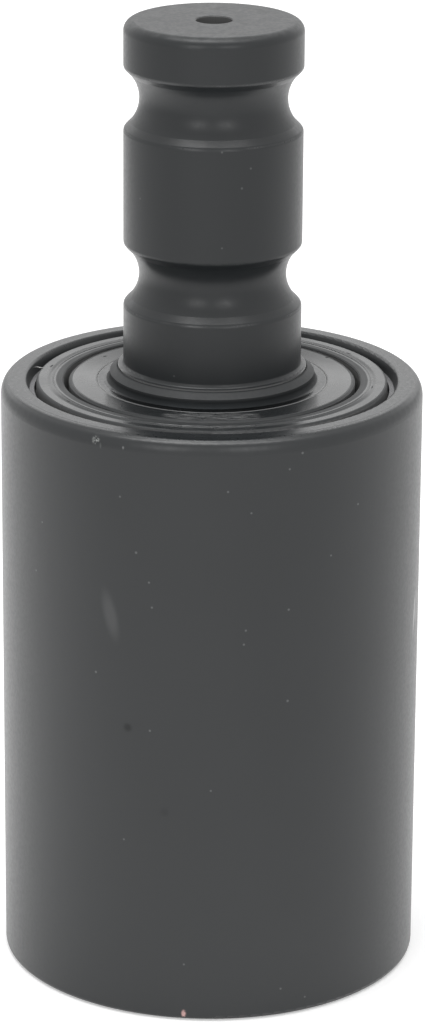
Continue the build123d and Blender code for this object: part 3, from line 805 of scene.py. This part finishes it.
class ROLLER_OT_leave_sliver(bpy.types.Operator):
    """Pale sliver of paint that bridges the channel at the seal's edge"""

    bl_idname = "roller.leave_sliver"
    bl_label = "Leave the sliver"

    def execute(self, context):
        mesh = bpy.data.meshes.new("paint_sliver")
        bm = bmesh.new()
        bmesh.ops.create_cube(bm, size=1.0)
        lengthwise = [e for e in bm.edges if abs((e.verts[0].co - e.verts[1].co).x) > 0.5]
        bmesh.ops.subdivide_edges(bm, edges=lengthwise, cuts=6)
        for vertex in bm.verts:
            along = vertex.co.x + 0.5
            taper = 1.0 - SLIVER_TAPER * abs(along - SLIVER_WIDEST)
            vertex.co.x = SLIVER_INNER + (SLIVER_OUTER - SLIVER_INNER) * along
            vertex.co.y *= SLIVER_WIDTH * taper
            vertex.co.z *= SLIVER_THICKNESS * taper
            vertex.co.z += SLIVER_ARCH * math.sin(math.pi * along) + 0.5 * SLIVER_THICKNESS
            vertex.co.y += SLIVER_SWAY * math.sin(2.0 * math.pi * along)
        bmesh.ops.bevel(
            bm, geom=list(bm.edges), offset=SLIVER_ROUNDING, affect="EDGES", segments=2,
            profile=0.5, material=-1,
        )
        turn = Matrix.Rotation(math.radians(SLIVER_ANGLE - 90.0), 3, "Z")
        bmesh.ops.rotate(bm, verts=bm.verts, matrix=turn)
        bmesh.ops.translate(bm, verts=bm.verts, vec=(0.0, 0.0, SEAL_FACE))
        bmesh.ops.recalc_face_normals(bm, faces=bm.faces)
        bm.to_mesh(mesh)
        bm.free()
        sliver = bpy.data.objects.new("paint_sliver", mesh)
        context.scene.collection.objects.link(sliver)

        finish = Finish("pale_sliver")
        dirt = finish.noise(0.4 * MM, detail=2.0)
        colour = finish.blend(dirt, (0.3, 0.3, 0.29), (0.5, 0.5, 0.49))
        mesh.materials.append(finish.finish(colour, finish.fade(dirt, 0.3, 0.7, 0.4, 0.6)))
        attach(sliver, "turning_shell")
        return {"FINISHED"}


FLOOR_HALF_SIZE = 4.0
# The floor lies a hair under the rim, so that the two never share a plane.
FLOOR_DROP = 0.2 * MM
# Glow that the floor shows to the camera, and that the roller's gloss mirrors.
FLOOR_GLOW = 0.32
MIRRORED_GLOW = 0.4
# Soft lamps: name, place, width and depth in metres, power in watts.
LAMPS = (
    ("lamp_overhead_left", (-0.27, -0.06, 1.45), (0.54, 0.56), 6.0),
    ("lamp_overhead_right", (0.25, -0.06, 1.45), (0.5, 0.56), 3.4),
    ("lamp_camera_left", (-0.56, -1.3, 0.64), (0.42, 0.42), 1.8),
    ("lamp_camera_right", (0.46, -1.3, 0.64), (0.42, 0.42), 1.7),
    ("lamp_back", (0.0, 2.2, 0.96), (3.2, 0.5), 4.5),
)
# Place on the roller that all lamps point at.
LAMP_AIM = Vector((0.0, 0.0, 0.12))
SENSOR_WIDTH = 36.0


class ROLLER_OT_set_stage(bpy.types.Operator):
    """White floor, soft lamps and the camera"""

    bl_idname = "roller.set_stage"
    bl_label = "Set the stage"

    def execute(self, context):
        settings = context.scene.roller.studio
        self.make_floor(context, settings)
        self.make_room(context, settings)
        self.make_lamps(context)
        self.make_camera(context, settings)
        context.scene.view_settings.view_transform = "Standard"
        return {"FINISHED"}

    def make_floor(self, context, settings):
        """Pale floor, a little brighter to the camera and in the gloss than its colour alone."""
        mesh = bpy.data.meshes.new("studio_floor")
        bm = bmesh.new()
        bmesh.ops.create_grid(bm, x_segments=1, y_segments=1, size=FLOOR_HALF_SIZE)
        bmesh.ops.translate(bm, verts=bm.verts, vec=(0.0, 0.0, -FLOOR_DROP))
        bm.to_mesh(mesh)
        bm.free()
        floor = bpy.data.objects.new("studio_floor", mesh)
        context.scene.collection.objects.link(floor)
        finish = Finish("floor_white")
        haze = finish.noise(0.4, detail=2.0)
        colour = finish.tint(tuple(settings.floor_colour), haze, 0.995, 1.005)
        light = finish.node("ShaderNodeLightPath")

        # What the gloss mirrors is dimmer far to the left, on the right and in front.
        left = finish.fade(finish.along("X"), -0.76, -0.4, 0.0, 1.0)
        right = finish.fade(finish.along("X"), 0.03, 0.12, 1.0, 0.5)
        front = finish.fade(finish.along("Y"), -0.3, 0.0, 0.42, 1.0)
        lit = finish.times(finish.times(left, right), front)
        mirrored = finish.times(light.outputs["Is Glossy Ray"], lit)
        glow = finish.plus(finish.times(light.outputs["Is Camera Ray"], FLOOR_GLOW),
                           finish.times(mirrored, MIRRORED_GLOW))
        finish.feed(finish.shader.inputs["Emission Color"], (1.0, 1.0, 1.0))
        finish.feed(finish.shader.inputs["Emission Strength"], glow)
        mesh.materials.append(finish.finish(colour, 0.9))

    def make_room(self, context, settings):
        """Even light all round, and plain white where the camera, gloss or glass sees it."""
        world = bpy.data.worlds.new("white_room")
        world.use_nodes = True
        context.scene.world = world
        nodes, links = world.node_tree.nodes, world.node_tree.links
        background = next(n for n in nodes if n.type == "BACKGROUND")
        background.inputs["Color"].default_value = (1.0, 1.0, 1.0, 1.0)
        light = nodes.new("ShaderNodeLightPath")
        seen = light.outputs["Is Camera Ray"]
        for ray in ("Is Glossy Ray", "Is Transmission Ray"):
            either = nodes.new("ShaderNodeMath")
            either.operation = "MAXIMUM"
            links.new(seen, either.inputs[0])
            links.new(light.outputs[ray], either.inputs[1])
            seen = either.outputs["Value"]
        strength = nodes.new("ShaderNodeMapRange")
        links.new(seen, strength.inputs["Value"])
        strength.inputs["To Min"].default_value = settings.sky_strength
        strength.inputs["To Max"].default_value = 1.0
        links.new(strength.outputs["Result"], background.inputs["Strength"])

    def make_lamps(self, context):
        for name, place, size, power in LAMPS:
            data = bpy.data.lights.new(name, "AREA")
            data.shape = "RECTANGLE"
            data.size, data.size_y = size
            data.energy = power
            lamp = bpy.data.objects.new(name, data)
            lamp.location = place
            aim = LAMP_AIM - lamp.location
            lamp.rotation_euler = aim.to_track_quat("-Z", "Y").to_euler()
            lamp.visible_camera = False
            context.scene.collection.objects.link(lamp)

    def make_camera(self, context, settings):
        """Camera of the photograph, that looks along +Y and down at the roller."""
        data = bpy.data.cameras.new("photo_camera")
        data.lens = settings.focal_length
        data.sensor_width = SENSOR_WIDTH
        data.clip_start, data.clip_end = 0.05, 20.0
        camera = bpy.data.objects.new("photo_camera", data)
        turn = Matrix.Rotation(settings.camera_yaw, 4, "Z")
        turn @= Matrix.Rotation(math.pi / 2 - settings.camera_pitch, 4, "X")
        roll = Matrix.Rotation(settings.camera_roll, 4, "Z")
        place = Matrix.Translation((0.0, -settings.camera_distance, settings.camera_height))
        camera.matrix_world = place @ turn @ roll
        context.scene.collection.objects.link(camera)
        context.scene.camera = camera


OPERATORS = (
    ROLLER_OT_paint_shell,
    ROLLER_OT_paint_shaft,
    ROLLER_OT_paint_collar,
    ROLLER_OT_finish_seal_face,
    ROLLER_OT_finish_spring_rings,
    ROLLER_OT_finish_seal_group,
    ROLLER_OT_finish_bearings,
    ROLLER_OT_finish_clamping,
    ROLLER_OT_finish_blind_end,
    ROLLER_OT_leave_sliver,
    ROLLER_OT_set_stage,
)


class ROLLER_PT_panel(bpy.types.Panel):
    """Sidebar panel that lists the steps"""

    bl_label = "Carrier roller"
    bl_idname = "ROLLER_PT_panel"
    bl_space_type = "VIEW_3D"
    bl_region_type = "UI"
    bl_category = "Roller"

    def draw(self, context):
        for operator in OPERATORS:
            self.layout.operator(operator.bl_idname)


CLASSES = (
    PaintSettings, SealFaceSettings, WearSettings, StudioSettings, RollerSettings,
    *OPERATORS, ROLLER_PT_panel,
)


def register():
    for cls in CLASSES:
        bpy.utils.register_class(cls)
    bpy.types.Scene.roller = bpy.props.PointerProperty(type=RollerSettings)


def unregister():
    del bpy.types.Scene.roller
    for cls in reversed(CLASSES):
        bpy.utils.unregister_class(cls)


def main():
    """Run every step in order."""
    register()
    for operator in OPERATORS:
        group, name = operator.bl_idname.split(".")
        getattr(getattr(bpy.ops, group), name)()


if __name__ == "__main__":
    main()
